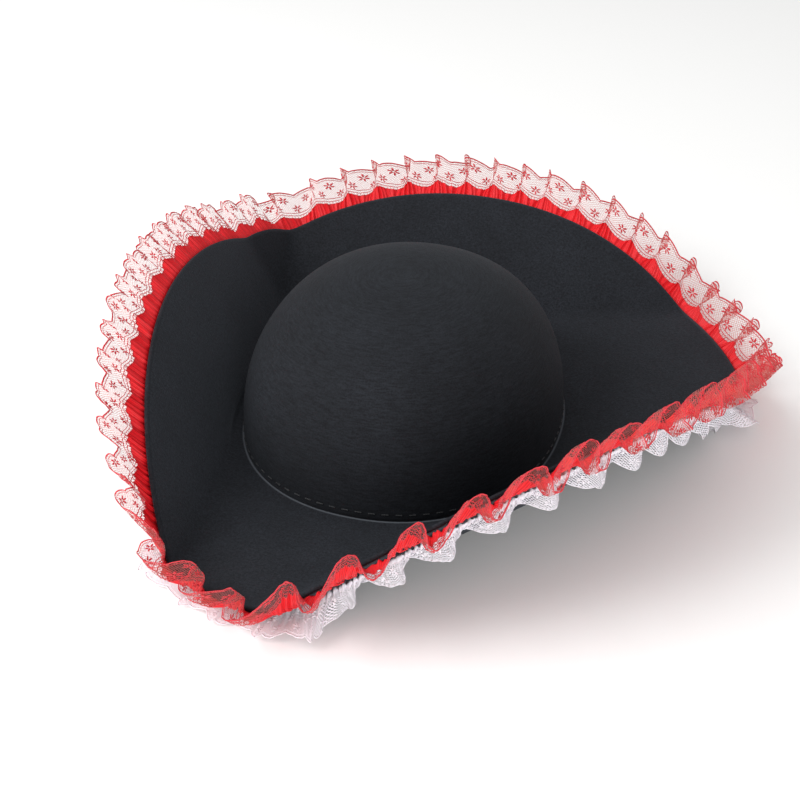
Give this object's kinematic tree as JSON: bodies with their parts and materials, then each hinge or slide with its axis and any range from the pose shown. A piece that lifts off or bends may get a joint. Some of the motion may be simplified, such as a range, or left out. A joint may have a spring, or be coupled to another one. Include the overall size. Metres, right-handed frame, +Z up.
{
  "type": "pirate hat",
  "caption": "Black felt pirate hat with an oval domed crown, a wide brim turned up in three flaps, and gathered red and white lace round its rim.",
  "frame": {"origin": "middle of the head opening, on the flat underside of the brim that the hat rests on", "axes": "+Z up through the crown, -Y towards the wearer's front, +X towards the wearer's left"},
  "size_m": [0.3855, 0.4409, 0.1034],
  "materials": {
    "black_felt": "matte pressed felt",
    "black_thread": "matt spun thread",
    "band_ribbon": "matt ribbed ribbon",
    "label_weave": "plain woven, blank",
    "red_heading": "gathered, slight sheen",
    "red_net": "open net lace",
    "red_thread": "matt spun thread",
    "white_heading": "gathered, slight sheen",
    "white_net": "open net lace",
    "white_thread": "matt spun thread"
  },
  "bodies": {
    "root": {"crown": "black_felt", "brim": "black_felt", "crown_stitching": "black_thread", "sweatband": "band_ribbon", "sweatband_stitching": "black_thread", "size_label": "label_weave", "red_heading": "red_heading", "red_lace": "red_net", "red_stitching": "red_thread", "white_heading": "white_heading", "white_lace": "white_net", "white_stitching": "white_thread"}
  },
  "joints": []
}
